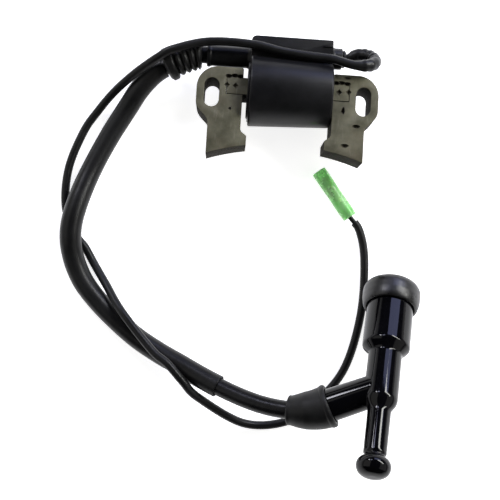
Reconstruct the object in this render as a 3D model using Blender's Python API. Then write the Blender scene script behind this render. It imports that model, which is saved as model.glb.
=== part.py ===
"""Ignition coil of a small four-stroke engine, as an assembly of separate pieces.

All sizes below are in millimetres; meshes are scaled to metres as they are made.
+X runs along the core's crossbar, +Y points away from the flywheel, +Z is the front.
The origin is midway between the two bolt slots, on the plane that the coil lies on.
"""
import math

import bmesh
import bpy
from mathutils import Matrix, Vector

MM = 0.001
GAP = 0.3

# Laminated core
STACK_BACK = 8.0
STACK_FRONT = 23.0
SLOT_X = 34.0
SLOT_WIDTH = 6.7
SLOT_LENGTH = 13.0
EAR_X = 40.8
LEG_OUTER_X = 35.0
LEG_INNER_X = 20.2
LEG_TOP_Y = 11.8
LEG_BOTTOM_Y = -27.6
SHOULDER_RADIUS = 9.4
FOOT_X = 17.4
FOOT_TOP_Y = -18.8
FOOT_CHAMFER = 1.8
POLE_RADIUS = 105.0
CROSSBAR_Y = 3.5
CROSSBAR_WIDTH = 7.5
CROSSBAR_END_X = 27.4
JOINT_NIB_HEIGHT = 0.7
JOINT_NIB_XS = (22.0, 25.3)

# Housing: a drafted barrel round the windings, with a block for the igniter above it
AXIS_Z = 15.5
BARREL_LEFT_X = -17.2
BARREL_RIGHT_X = 19.8
BARREL_LEFT_RADIUS = 16.0
BARREL_RIGHT_RADIUS = 14.5
END_DISC_RADIUS = 12.7
END_DISC_X = -18.2
CAVITY_RADIUS = 13.7
END_WALL = 1.4
BLOCK_TOP_Y = 27.6
BLOCK_FRONT_Z = 22.0
CUP_BOTTOM_Y = -7.5
WALL = 1.6
HT_Y = 19.0
HT_Z = 15.0
NECK_END_X = -37.3
NECK_RADIUS = 4.7
NECK_BORE_RADIUS = 3.0
BOSS_Y = 21.2
BOSS_Z = 15.0
BOSS_END_X = 24.3
BOSS_RADIUS = 4.8
BOSS_BORE_RADIUS = 3.3

# Cords
HT_LEAD_RADIUS = 3.9
HT_SHEATH_RADIUS = 4.8
HT_SHEATH_BORE = 4.45
PRIMARY_WIRE_RADIUS = 1.1
PRIMARY_SLEEVE_RADIUS = 1.9
PRIMARY_SLEEVE_BORE = 1.6
HT_STEP = 6.0
PRIMARY_STEP = 6.3

# Spark plug cap: its axis climbs from the plug mouth to the pull knob
CAP_MOUTH = Vector((54.0, -79.1, 8.6))
CAP_TILT = math.radians(30)
CAP_HEADING = Vector((-13.3, -76.2, 0)).normalized()
CAP_AXIS = CAP_HEADING * math.cos(CAP_TILT) + Vector((0, 0, math.sin(CAP_TILT)))
ARM_STATION = 54.0
ARM_MOUTH = Vector((21.1, -135.9, 29.95))
CAP_JUNCTION = CAP_MOUTH + CAP_AXIS * ARM_STATION
ARM_AXIS = (ARM_MOUTH - CAP_JUNCTION).normalized()
ARM_RADIUS = 7.1
ARM_LENGTH = 29.0
ARM_BORE_RADIUS = 4.4
LEAD_END_STATION = 12.0

# Route of the high-tension lead, from the housing's neck to inside the cap's arm
HT_ROUTE = [
    (-38.1, 19.0, 15.0), (-41.6, 18.8, 15.0), (-46.3, 17.3, 14.7), (-51.0, 15.3, 14.1),
    (-55.5, 13.2, 13.5), (-60.0, 10.3, 12.6), (-64.2, 6.3, 11.2), (-68.3, 1.2, 9.4),
    (-72.0, -4.8, 7.4), (-75.8, -11.2, 5.9), (-79.4, -17.6, 5.1), (-83.8, -26.8, 4.9),
    (-87.6, -36.0, 5.4), (-90.4, -44.6, 7.0), (-92.5, -53.0, 8.7), (-93.9, -61.0, 9.5),
    (-94.0, -68.4, 9.1), (-92.8, -75.4, 7.2), (-90.2, -82.4, 5.6), (-85.6, -89.8, 4.95),
    (-76.0, -99.8, 5.1), (-63.0, -110.2, 6.3), (-51.0, -117.2, 8.3), (-40.5, -122.2, 10.9),
    (-30.5, -127.0, 14.0), (-21.0, -131.0, 17.0), (-14.1, -133.5, 19.3), (-9.2, -135.0, 21.0),
    (-4.9, -136.1, 22.4), (-0.5, -136.9, 23.9), (3.9, -137.4, 25.3), (9.2, -137.6, 27.0),
    (15.0, -137.2, 28.5), (21.1, -135.9, 29.95), (28.0, -132.9, 31.5), (35.0, -129.9, 33.1),
]
HT_SHEATH_START = 20.0
HT_SHEATH_END = 213.5

# Route of the stop-switch lead, from the housing's boss to its bullet connector
PRIMARY_ROUTE = [
    (16.5, 21.2, 15.0), (22.0, 21.2, 15.0), (26.8, 21.8, 14.9), (31.2, 23.7, 15.2),
    (36.2, 23.0, 17.2), (38.6, 19.5, 21.3), (36.4, 16.3, 25.5), (31.2, 15.0, 27.2),
    (26.5, 15.5, 27.0), (18.5, 18.0, 25.1), (8.5, 18.9, 24.3), (-3.3, 20.0, 24.3),
    (-17.4, 22.4, 24.3), (-36.7, 22.4, 23.8), (-52.0, 17.9, 24.0), (-57.9, 14.8, 22.7),
    (-69.0, 8.0, 16.5), (-79.2, 0.6, 8.6), (-87.0, -7.8, 3.2), (-93.0, -17.6, 2.1),
    (-98.6, -35.2, 2.1), (-98.6, -53.2, 2.1), (-92.8, -66.2, 2.1), (-88.4, -71.3, 2.1),
    (-83.4, -79.0, 2.5), (-77.0, -88.0, 5.5), (-68.2, -99.9, 12.2), (-53.2, -116.1, 16.0),
    (-46.0, -121.4, 17.2), (-38.7, -128.8, 17.1), (-31.6, -135.8, 13.3), (-10.2, -147.3, 3.9),
    (9.4, -145.6, 2.1), (22.9, -135.8, 2.1), (34.9, -119.6, 2.1), (41.1, -94.3, 2.1),
    (41.4, -69.4, 2.5), (38.3, -56.0, 3.6), (33.9, -50.3, 3.6), (29.2, -44.2, 3.6),
]
CONNECTOR_TIP = Vector((17.7, -29.2, 3.6))
CONNECTOR_WIRE_END = Vector((33.5, -49.8, 3.6))
SLEEVE_BACKSET = 3.2


# ---------------------------------------------------------------- helpers

def clear_scene():
    for old in list(bpy.data.objects):
        bpy.data.objects.remove(old, do_unlink=True)


def material(name, colour, roughness, metallic=0.0):
    made = bpy.data.materials.new(name)
    made.use_nodes = True
    shader = made.node_tree.nodes["Principled BSDF"]
    shader.inputs["Base Color"].default_value = (*colour, 1.0)
    shader.inputs["Roughness"].default_value = roughness
    shader.inputs["Metallic"].default_value = metallic
    return made


def mesh_object(name, points, faces, finish=None, crease=35):
    """One closed mesh from points in millimetres, with its faces turned outwards."""
    shape = bmesh.new()
    corners = [shape.verts.new(Vector(point) * MM) for point in points]
    for face in faces:
        shape.faces.new([corners[index] for index in face])
    bmesh.ops.recalc_face_normals(shape, faces=shape.faces)
    mesh = bpy.data.meshes.new(name)
    shape.to_mesh(mesh)
    shape.free()
    mesh.shade_smooth()
    mesh.set_sharp_from_angle(angle=math.radians(crease))
    made = bpy.data.objects.new(name, mesh)
    bpy.context.collection.objects.link(made)
    if finish:
        mesh.materials.append(finish)
    return made


def prism(name, outline, low, high, finish=None):
    """An outline in X and Y, extruded from one height to another."""
    count = len(outline)
    points = [(x, y, low) for x, y in outline] + [(x, y, high) for x, y in outline]
    faces = [tuple(range(count)), tuple(range(2 * count - 1, count - 1, -1))]
    for index in range(count):
        after = (index + 1) % count
        faces.append((index, after, after + count, index + count))
    return mesh_object(name, points, faces, finish)


def prism_x(name, outline, low, high, finish=None):
    """An outline in Y and Z, extruded along X."""
    made = prism(name, outline, low, high, finish)
    for vertex in made.data.vertices:
        x, y, z = vertex.co
        vertex.co = (z, x, y)
    return made


def box(name, low, high, finish=None):
    corners = [(low[0], low[1]), (high[0], low[1]), (high[0], high[1]), (low[0], high[1])]
    return prism(name, corners, low[2], high[2], finish)


def frame_along(origin, axis):
    """A placement whose +Z lies along an axis."""
    turn = Vector(axis).to_track_quat("Z", "Y").to_matrix().to_4x4()
    return Matrix.Translation(Vector(origin)) @ turn


def ring_points(place, radius, along, sides):
    turns = [2 * math.pi * step / sides for step in range(sides)]
    return [place @ Vector((radius * math.cos(a), radius * math.sin(a), along)) for a in turns]


def turned(name, profile, place, finish=None, sides=32, hollow=False):
    """A profile of (along, radius) pairs turned round the place's +Z.

    A hollow profile is a closed loop; a solid one runs from end to end and is capped.
    """
    points = []
    for along, radius in profile:
        points += ring_points(place, radius, along, sides)
    rings = len(profile)
    faces = []
    for ring in range(rings if hollow else rings - 1):
        start = ring * sides
        other = ((ring + 1) % rings) * sides
        for step in range(sides):
            after = (step + 1) % sides
            faces.append((start + step, start + after, other + after, other + step))
    if not hollow:
        faces.append(tuple(range(sides)))
        faces.append(tuple(range(rings * sides - 1, (rings - 1) * sides - 1, -1)))
    return mesh_object(name, points, faces, finish)


def cutter(made):
    made.hide_render = True
    made.display_type = "WIRE"
    return made


def combine(target, tool, operation):
    step = target.modifiers.new(operation.title(), "BOOLEAN")
    step.operation = operation
    step.solver = "EXACT"
    step.object = cutter(tool)


def arc(centre, radius, start, end, steps):
    """Points on an arc, with its angles in degrees."""
    points = []
    for step in range(steps + 1):
        angle = math.radians(start + (end - start) * step / steps)
        points.append((centre[0] + radius * math.cos(angle), centre[1] + radius * math.sin(angle)))
    return points


def rounded_rectangle(half_y, half_z, radius, steps=5):
    """A rounded rectangle in Y and Z about the barrel's axis."""
    points = []
    for quarter, (sy, sz) in enumerate(((1, 1), (-1, 1), (-1, -1), (1, -1))):
        centre = (CROSSBAR_Y + sy * (half_y - radius), AXIS_Z + sz * (half_z - radius))
        points += arc(centre, radius, 90 * quarter, 90 * quarter + 90, steps)
    return points


def smooth_route(route, fine=12):
    """A Catmull-Rom curve through a route's points."""
    knots = [Vector(point) for point in route]
    knots = [2 * knots[0] - knots[1]] + knots + [2 * knots[-1] - knots[-2]]
    curve = []
    for index in range(1, len(knots) - 2):
        a, b, c, d = knots[index - 1:index + 3]
        for step in range(fine):
            t = step / fine
            curve.append(0.5 * (2 * b + (c - a) * t + (2 * a - 5 * b + 4 * c - d) * t ** 2
                                + (3 * b - a - 3 * c + d) * t ** 3))
    curve.append(knots[-2])
    return curve


def lengths_along(curve):
    total = [0.0]
    for before, after in zip(curve, curve[1:]):
        total.append(total[-1] + (after - before).length)
    return total


def point_at(curve, total, distance):
    distance = min(max(distance, 0.0), total[-1])
    for index in range(1, len(total)):
        if total[index] >= distance:
            span = total[index] - total[index - 1]
            share = (distance - total[index - 1]) / span if span else 0.0
            return curve[index - 1].lerp(curve[index], share)
    return curve[-1]


def stations_between(curve, start, end, step):
    """Evenly spaced points on a curve, about one step apart."""
    total = lengths_along(curve)
    count = max(2, round((end - start) / step) + 1)
    return [point_at(curve, total, start + (end - start) * i / (count - 1)) for i in range(count)]


def sweep(name, stations, outer, inner, finish, sides=12):
    """A hollow tube along stations, with one outer and one inner radius at each."""
    count = len(stations)
    points = []
    side_axis = None
    frames = []
    for index, station in enumerate(stations):
        ahead = stations[min(index + 1, count - 1)] - stations[max(index - 1, 0)]
        ahead.normalize()
        if side_axis is None:
            side_axis = ahead.orthogonal().normalized()
        side_axis = (side_axis - ahead * side_axis.dot(ahead)).normalized()
        frames.append((station, side_axis, ahead.cross(side_axis)))
    for radii in (outer, inner):
        for (station, across, upward), radius in zip(frames, radii):
            for step in range(sides):
                angle = 2 * math.pi * step / sides
                points.append(station + (across * math.cos(angle) + upward * math.sin(angle)) * radius)
    faces = []
    for layer in range(2):
        for ring in range(count - 1):
            start = (layer * count + ring) * sides
            for step in range(sides):
                after = (step + 1) % sides
                faces.append((start + step, start + after, start + after + sides, start + step + sides))
    for ring in (0, count - 1):
        for step in range(sides):
            after = (step + 1) % sides
            inside = (count + ring) * sides
            faces.append((ring * sides + step, ring * sides + after, inside + after, inside + step))
    return mesh_object(name, points, faces, finish)


def cord(name, stations, radius, finish, resolution):
    """A solid cord: a curve with a round bevel and filled ends."""
    curve = bpy.data.curves.new(name, "CURVE")
    curve.dimensions = "3D"
    curve.bevel_depth = radius * MM
    curve.bevel_resolution = resolution
    curve.use_fill_caps = True
    curve.resolution_u = 1
    curve.render_resolution_u = 0
    spline = curve.splines.new("POLY")
    spline.points.add(len(stations) - 1)
    for point, station in zip(spline.points, stations):
        point.co = (*(station * MM), 1.0)
    curve.materials.append(finish)
    made = bpy.data.objects.new(name, curve)
    bpy.context.collection.objects.link(made)
    return made


# ---------------------------------------------------------------- laminated core

def pole_arc(steps=6):
    """The pole face: an arc of the flywheel's rim, from the leg's outer to its inner edge."""
    centre_y = LEG_BOTTOM_Y - math.sqrt(POLE_RADIUS ** 2 - LEG_OUTER_X ** 2)
    points = []
    for step in range(steps + 1):
        x = LEG_OUTER_X + (FOOT_X - LEG_OUTER_X) * step / steps
        points.append((x, centre_y + math.sqrt(POLE_RADIUS ** 2 - x ** 2)))
    return points


def leg_outline():
    """The right leg: ear with a round shoulder, straight shank and a foot turned inwards."""
    shoulder = arc((EAR_X - SHOULDER_RADIUS, LEG_TOP_Y - SHOULDER_RADIUS), SHOULDER_RADIUS, 90, 0, 8)
    ear_lower = [(EAR_X, -4.2), (40.3, -6.4), (38.6, -8.8), (36.3, -11.0), (35.3, -12.4),
                 (LEG_OUTER_X, -14.2)]
    foot = [(FOOT_X, FOOT_TOP_Y), (LEG_INNER_X - 0.4, FOOT_TOP_Y + FOOT_CHAMFER),
            (LEG_INNER_X, FOOT_TOP_Y + FOOT_CHAMFER + 1.0)]
    top_corner = arc((LEG_INNER_X + 1.0, LEG_TOP_Y - 1.0), 1.0, 180, 90, 3)
    return shoulder + ear_lower + pole_arc() + foot + top_corner


def crossbar_end(grow):
    """The crossbar's right end, with two nibs on its top edge, grown by a clearance."""
    low = CROSSBAR_Y - CROSSBAR_WIDTH / 2 - grow
    high = CROSSBAR_Y + CROSSBAR_WIDTH / 2 + grow
    tip = CROSSBAR_END_X + grow
    points = [(tip, low), (tip, high)]
    for nib_x in sorted(JOINT_NIB_XS, reverse=True):
        points += [(nib_x + 1.1 + grow / 2, high), (nib_x + 0.7 + grow / 2, high + JOINT_NIB_HEIGHT),
                   (nib_x - 0.7 - grow / 2, high + JOINT_NIB_HEIGHT), (nib_x - 1.1 - grow / 2, high)]
    return points


def mirrored(outline):
    return [(-x, y) for x, y in reversed(outline)]


def make_core(finish):
    slot = (arc((SLOT_X, (SLOT_LENGTH - SLOT_WIDTH) / 2), SLOT_WIDTH / 2, 0, 180, 10)
            + arc((SLOT_X, -(SLOT_LENGTH - SLOT_WIDTH) / 2), SLOT_WIDTH / 2, 180, 360, 10))
    grown_end = crossbar_end(GAP)
    notch = [(LEG_INNER_X - 2, grown_end[0][1])] + grown_end + [(LEG_INNER_X - 2, grown_end[1][1])]
    for side, flip in (("left", True), ("right", False)):
        outlines = [leg_outline(), slot, notch]
        if flip:
            outlines = [mirrored(outline) for outline in outlines]
        leg = prism("core_leg_" + side, outlines[0], STACK_BACK, STACK_FRONT, finish)
        for purpose, outline in zip(("slot", "notch"), outlines[1:]):
            tool = prism(f"{purpose}_{side}", outline, STACK_BACK - 2, STACK_FRONT + 2)
            combine(leg, tool, "DIFFERENCE")
    right_end = crossbar_end(0.0)
    prism("core_crossbar", right_end + mirrored(right_end), STACK_BACK, STACK_FRONT, finish)


# ---------------------------------------------------------------- windings

def square_ring(name, outer, inner, low, high, finish):
    """A tube of rounded rectangular section round the crossbar."""
    ring = prism_x(name, rounded_rectangle(*outer), low, high, finish)
    hole = prism_x(name + "_bore", rounded_rectangle(*inner), low - 1, high + 1)
    combine(ring, hole, "DIFFERENCE")
    return ring


def make_windings(bobbin_finish, copper, lacquered):
    bore = (CROSSBAR_WIDTH / 2 + GAP, (STACK_FRONT - STACK_BACK) / 2 + GAP, 0.4)
    tube = (bore[0] + 0.8, bore[1] + 0.8, 1.0)
    spool = square_ring("primary_bobbin", tube, bore, -14.6, 17.2, bobbin_finish)
    for name, low in (("left_flange", -14.6), ("right_flange", 16.2)):
        flange = prism_x(name, rounded_rectangle(tube[0] + 1.2, tube[1] + 1.2, 2.5), low, low + 1.0)
        combine(flange, prism_x(name + "_bore", rounded_rectangle(*bore), low - 1, low + 2), "DIFFERENCE")
        combine(spool, flange, "UNION")
    inner = (tube[0] + GAP, tube[1] + GAP, 1.2)
    square_ring("primary_winding", (inner[0] + 1.0, inner[1] + 1.0, 2.4), inner, -13.3, 15.9, copper)
    second_bore = (tube[0] + 1.8, tube[1] + 1.5, 3.4)
    second_tube = (second_bore[0] + 0.7, second_bore[1] + 0.7, 4.0)
    spool = square_ring("secondary_bobbin", second_tube, second_bore, -13.6, 16.2, bobbin_finish)
    winding_bore = (second_tube[0] + GAP, second_tube[1] + GAP, 4.2)
    winding = (winding_bore[0] + 2.0, winding_bore[1] + 1.3, 7.2)
    square_ring("secondary_winding", winding, winding_bore, -12.6, 15.2, lacquered)


# ---------------------------------------------------------------- housing and igniter

def make_housing(finish):
    along_x = frame_along((0, CROSSBAR_Y, AXIS_Z), (1, 0, 0))
    corner = 2.4
    left = BARREL_LEFT_X - 0.3
    right = BARREL_RIGHT_X - 0.3
    block_outline = ([(right, CUP_BOTTOM_Y), (right, BLOCK_TOP_Y)]
                     + arc((left + corner, BLOCK_TOP_Y - corner), corner, 90, 180, 5)
                     + [(left, CUP_BOTTOM_Y)])
    body = prism("housing", block_outline, 0.0, BLOCK_FRONT_Z, finish)
    notch = box("block_front_relief", (left - 1, CUP_BOTTOM_Y - 1, AXIS_Z), (right + 1, CROSSBAR_Y, 24))
    combine(body, notch, "DIFFERENCE")
    barrel_profile = [(BARREL_LEFT_X, BARREL_LEFT_RADIUS - 0.8), (BARREL_LEFT_X + 0.8, BARREL_LEFT_RADIUS),
                      (BARREL_RIGHT_X - 0.6, BARREL_RIGHT_RADIUS), (BARREL_RIGHT_X, BARREL_RIGHT_RADIUS - 0.6)]
    barrel = turned("barrel", barrel_profile, along_x, sides=56)
    base_cut = box("barrel_base_cut", (-30, -20, -4), (30, 20, 0.0))
    combine(barrel, base_cut, "DIFFERENCE")
    combine(body, barrel, "UNION")
    disc_profile = [(END_DISC_X, END_DISC_RADIUS - 0.5), (END_DISC_X + 0.5, END_DISC_RADIUS),
                    (BARREL_LEFT_X + 1, END_DISC_RADIUS)]
    combine(body, turned("end_disc", disc_profile, along_x, sides=40), "UNION")
    neck_place = frame_along((0, HT_Y, HT_Z), (1, 0, 0))
    neck_profile = [(NECK_END_X, NECK_RADIUS + 0.1), (NECK_END_X + 0.4, NECK_RADIUS + 0.5),
                    (NECK_END_X + 1.4, NECK_RADIUS + 0.5), (NECK_END_X + 1.9, NECK_RADIUS),
                    (BARREL_LEFT_X + 3, NECK_RADIUS)]
    combine(body, turned("neck", neck_profile, neck_place, sides=28), "UNION")
    boss_place = frame_along((0, BOSS_Y, BOSS_Z), (1, 0, 0))
    boss_profile = [(BARREL_RIGHT_X - 3, BOSS_RADIUS), (BOSS_END_X - 0.5, BOSS_RADIUS),
                    (BOSS_END_X, BOSS_RADIUS - 0.5)]
    combine(body, turned("boss", boss_profile, boss_place, sides=28), "UNION")
    winding_room = turned("winding_room", [(BARREL_LEFT_X + END_WALL, CAVITY_RADIUS),
                                           (BARREL_RIGHT_X - END_WALL, CAVITY_RADIUS)], along_x, sides=48)
    combine(body, winding_room, "DIFFERENCE")
    igniter_room = box("igniter_room", (left + WALL, CUP_BOTTOM_Y + WALL, -1.0),
                       (right - WALL, BLOCK_TOP_Y - WALL, AXIS_Z - 9.5))
    combine(body, igniter_room, "DIFFERENCE")
    upper_room = box("upper_room", (left + WALL, CROSSBAR_Y + 8.0, AXIS_Z - 11),
                     (right - WALL, BLOCK_TOP_Y - WALL, BLOCK_FRONT_Z - WALL))
    combine(body, upper_room, "DIFFERENCE")
    half_y = CROSSBAR_WIDTH / 2 + GAP
    bar_hole = box("bar_hole", (-30, CROSSBAR_Y - half_y, STACK_BACK - GAP),
                   (30, CROSSBAR_Y + half_y, STACK_FRONT + GAP))
    combine(body, bar_hole, "DIFFERENCE")
    neck_bore = turned("neck_bore", [(NECK_END_X - 2, NECK_BORE_RADIUS), (left + WALL + 1, NECK_BORE_RADIUS)],
                       neck_place, sides=20)
    combine(body, neck_bore, "DIFFERENCE")
    boss_bore = turned("boss_bore", [(right - WALL - 1, BOSS_BORE_RADIUS), (BOSS_END_X + 2, BOSS_BORE_RADIUS)],
                       boss_place, sides=20)
    combine(body, boss_bore, "DIFFERENCE")


def make_igniter(potting, board_finish, chip_finish, brass):
    left = BARREL_LEFT_X - 0.3 + WALL + GAP
    right = BARREL_RIGHT_X - 0.3 - WALL - GAP
    top = BLOCK_TOP_Y - WALL - GAP
    box("potting_compound", (left, CUP_BOTTOM_Y + WALL + GAP, 0.4), (right, top, 1.5), potting)
    box("igniter_board", (-14.0, 17.6, 6.0), (15.0, 25.4, 7.2), board_finish)
    box("power_transistor", (-10.0, 18.4, 7.5), (0.0, 24.8, 11.6), chip_finish)
    box("control_chip", (3.5, 19.2, 7.5), (8.5, 23.2, 9.0), chip_finish)
    box("primary_solder_pin", (12.6, 20.4, 7.5), (14.2, 22.0, 14.6), brass)
    box("core_ground_strip", (17.5, 7.9, 13.6), (17.9, 15.4, 17.4), brass)
    pin_place = frame_along((0, HT_Y, HT_Z), (1, 0, 0))
    turned("ht_terminal_pin", [(NECK_END_X + 1.5, 0.3), (NECK_END_X + 4.0, 1.0), (-19.0, 1.0), (-18.8, 2.2),
                               (-17.6, 2.2)], pin_place, brass, sides=16)


# ---------------------------------------------------------------- leads

def rib_profile(length, ribs, root, crest, collar):
    """Outer radii along the grommet: round ribs, then a wide collar at the far end."""
    samples = []
    pitch = (length - 5.0) / ribs
    for rib in range(ribs):
        for share, radius in ((0.0, root), (0.28, crest), (0.62, crest), (0.9, root)):
            samples.append((pitch * (rib + share), radius))
    samples += [(length - 5.0, root), (length - 4.2, collar - 0.4), (length - 3.4, collar),
                (length - 1.4, collar), (length, collar - 1.6)]
    return samples


def make_high_tension(rubber, lead_finish, sheath_finish):
    curve = smooth_route(HT_ROUTE)
    total = lengths_along(curve)
    stations = stations_between(curve, 0.0, total[-1], HT_STEP)
    cord("ht_lead", stations, HT_LEAD_RADIUS, lead_finish, 4)
    sheath = stations_between(curve, HT_SHEATH_START, HT_SHEATH_END, HT_STEP)
    sweep("ht_sheath", sheath, [HT_SHEATH_RADIUS] * len(sheath), [HT_SHEATH_BORE] * len(sheath),
          sheath_finish)
    grommet = rib_profile(17.6, 4, 5.7, 6.8, 7.7)
    ribs = [point_at(curve, total, 1.6 + along) for along, radius in grommet]
    sweep("ht_grommet", ribs, [radius for along, radius in grommet], [4.5] * len(ribs), rubber, sides=20)
    boot_far = total[-1] - 3.0
    boot = [(0.0, 6.3, 4.6), (1.2, 6.5, 4.6), (4.0, 7.1, 4.6), (7.6, 8.0, 4.6), (9.0, 8.3, 7.5),
            (14.0, 8.8, 7.5), (16.4, 9.0, 7.5), (17.0, 9.3, 7.5), (18.2, 9.3, 7.5), (18.8, 8.9, 7.5)]
    boot_start = boot_far - 26.4
    spots = [point_at(curve, total, boot_start + along) for along, outer, inner in boot]
    sweep("cap_lead_boot", spots, [part[1] for part in boot], [part[2] for part in boot], rubber, sides=24)
    return total[-1]


def make_primary(rubber, wire_finish, sleeve_finish, brass, green):
    curve = smooth_route(PRIMARY_ROUTE)
    total = lengths_along(curve)
    axis = (CONNECTOR_WIRE_END - CONNECTOR_TIP).normalized()
    sleeve_length = (CONNECTOR_WIRE_END - CONNECTOR_TIP).length
    past_connector = (Vector(PRIMARY_ROUTE[-1]) - CONNECTOR_WIRE_END).length + SLEEVE_BACKSET
    sheath = stations_between(curve, 4.6, total[-1] - past_connector, PRIMARY_STEP)
    cord("primary_wire", [curve[0]] + sheath + [curve[-1]], PRIMARY_WIRE_RADIUS, wire_finish, 2)
    sweep("primary_sleeve", sheath, [PRIMARY_SLEEVE_RADIUS] * len(sheath),
          [PRIMARY_SLEEVE_BORE] * len(sheath), sleeve_finish, sides=8)
    outlet = frame_along((0, BOSS_Y, BOSS_Z), (1, 0, 0))
    turned("primary_outlet_grommet",
           [(21.6, 2.3), (25.2, 2.5), (25.9, 2.7), (25.9, 3.4), (25.4, 3.9), (24.6, 3.9), (24.6, 2.95), (21.6, 2.95)],
           outlet, rubber, sides=20, hollow=True)
    place = frame_along(CONNECTOR_TIP, axis)
    turned("bullet_sleeve",
           [(0.0, 2.9), (0.0, 3.3), (0.4, 3.5), (sleeve_length - 0.8, 3.4), (sleeve_length, 3.1),
            (sleeve_length, 2.7)], place, green, sides=24, hollow=True)
    turned("bullet_terminal",
           [(4.0, 1.7), (4.0, 2.2), (13.0, 2.2), (14.0, 1.7), (18.6, 1.7), (18.6, 0.3), (15.0, 0.3),
            (14.0, 0.8), (12.4, 1.7)], place, brass, sides=16, hollow=True)


# ---------------------------------------------------------------- spark plug cap

def make_cap(phenolic, rubber, ceramic, steel, brass):
    place = frame_along(CAP_MOUTH, CAP_AXIS)
    arm_place = frame_along(CAP_JUNCTION, ARM_AXIS)
    body_profile = [(4.7, 9.9), (5.1, 10.3), (34.0, 10.3), (35.0, 9.9), (37.4, 7.6), (38.2, 7.2), (60.0, 7.2),
                    (61.8, 6.5), (63.6, 5.3), (65.2, 4.95), (83.6, 4.8), (85.0, 5.0), (86.6, 6.6), (88.4, 7.1),
                    (90.4, 6.9), (92.2, 5.8), (93.2, 3.6), (93.4, 1.2)]
    body = turned("cap_body", body_profile, place, phenolic, sides=36)
    arm_profile = [(0.0, ARM_RADIUS - 0.5), (ARM_LENGTH - 0.6, ARM_RADIUS - 0.1), (ARM_LENGTH, ARM_RADIUS - 0.6)]
    combine(body, turned("arm", arm_profile, arm_place, sides=32), "UNION")
    plug_bore = turned("plug_bore", [(-1.0, 8.2), (29.0, 8.0), (33.0, 4.6), (56.0, 4.2), (58.0, 2.0)],
                       place, sides=28)
    combine(body, plug_bore, "DIFFERENCE")
    arm_bore = turned("arm_bore", [(0.0, 2.0), (10.0, 2.0), (LEAD_END_STATION - 1.6, ARM_BORE_RADIUS),
                                   (ARM_LENGTH + 2, ARM_BORE_RADIUS)], arm_place, sides=24)
    combine(body, arm_bore, "DIFFERENCE")
    turned("cap_plug_boot",
           [(2.7, 8.6), (2.7, 10.2), (3.1, 11.2), (3.9, 12.1), (5.4, 12.8), (7.0, 12.9), (10.0, 12.8),
            (12.6, 12.4), (14.0, 11.9), (14.5, 11.3), (14.5, 10.6), (4.4, 10.6), (4.4, 8.9)],
           place, rubber, sides=40, hollow=True)
    turned("cap_plug_terminal", [(24.0, 3.4), (24.0, 4.2), (32.0, 4.2), (32.0, 3.4)], place, steel, sides=20,
           hollow=True)
    turned("cap_resistor", [(33.0, 2.2), (34.0, 3.0), (46.0, 3.0), (47.0, 2.2)], place, ceramic, sides=20)
    make_spring(place, steel)
    turned("cap_lead_screw", [(5.0, 1.0), (5.6, 1.5), (9.8, 1.5), (LEAD_END_STATION - 0.5, 0.3)], arm_place,
           brass, sides=12)


def make_spring(place, finish):
    """The compression spring that presses the resistor on to the plug terminal."""
    turns, low, high, radius, wire = 4, 48.2, 55.4, 2.4, 0.35
    steps = 10 * turns
    stations = []
    for step in range(steps + 1):
        angle = 2 * math.pi * turns * step / steps
        along = low + (high - low) * step / steps
        stations.append(place @ Vector((radius * math.cos(angle), radius * math.sin(angle), along)))
    cord("cap_spring", stations, wire, finish, 2)


def main():
    clear_scene()
    steel_stack = material("lamination_steel", (0.33, 0.32, 0.28), 0.5, 0.8)
    black_resin = material("black_resin", (0.03, 0.03, 0.035), 0.45)
    bobbin = material("bobbin_nylon", (0.75, 0.73, 0.65), 0.5)
    copper = material("copper_wire", (0.72, 0.32, 0.14), 0.35, 1.0)
    lacquered = material("lacquered_fine_wire", (0.45, 0.15, 0.06), 0.35, 0.9)
    potting = material("potting_resin", (0.05, 0.05, 0.05), 0.3)
    board = material("board_laminate", (0.05, 0.2, 0.08), 0.5)
    chip = material("chip_plastic", (0.04, 0.04, 0.04), 0.5)
    brass = material("brass", (0.75, 0.55, 0.25), 0.3, 1.0)
    rubber = material("black_rubber", (0.02, 0.02, 0.02), 0.6)
    lead = material("lead_jacket", (0.02, 0.02, 0.02), 0.35)
    sheath = material("lead_sheath", (0.025, 0.025, 0.025), 0.45)
    wire = material("wire_jacket", (0.02, 0.02, 0.02), 0.4)
    green = material("green_vinyl", (0.1, 0.6, 0.25), 0.3)
    phenolic = material("black_phenolic", (0.015, 0.015, 0.02), 0.12)
    ceramic = material("resistor_ceramic", (0.8, 0.78, 0.72), 0.5)
    spring_steel = material("spring_steel", (0.6, 0.6, 0.6), 0.3, 1.0)
    make_core(steel_stack)
    make_windings(bobbin, copper, lacquered)
    make_housing(black_resin)
    make_igniter(potting, board, chip, brass)
    make_high_tension(rubber, lead, sheath)
    make_primary(rubber, wire, sheath, brass, green)
    make_cap(phenolic, rubber, ceramic, spring_steel, brass)


main()
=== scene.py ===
"""Surfaces and finishes of a small-engine ignition coil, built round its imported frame.

Lengths are millimetres and become metres as each mesh is made; the cords' routes are metres.
+X runs along the crossbar, +Y points away from the flywheel and +Z is the core's front.
"""
import math

import bmesh
import bpy
import numpy as np
from mathutils import Matrix, Vector


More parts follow.
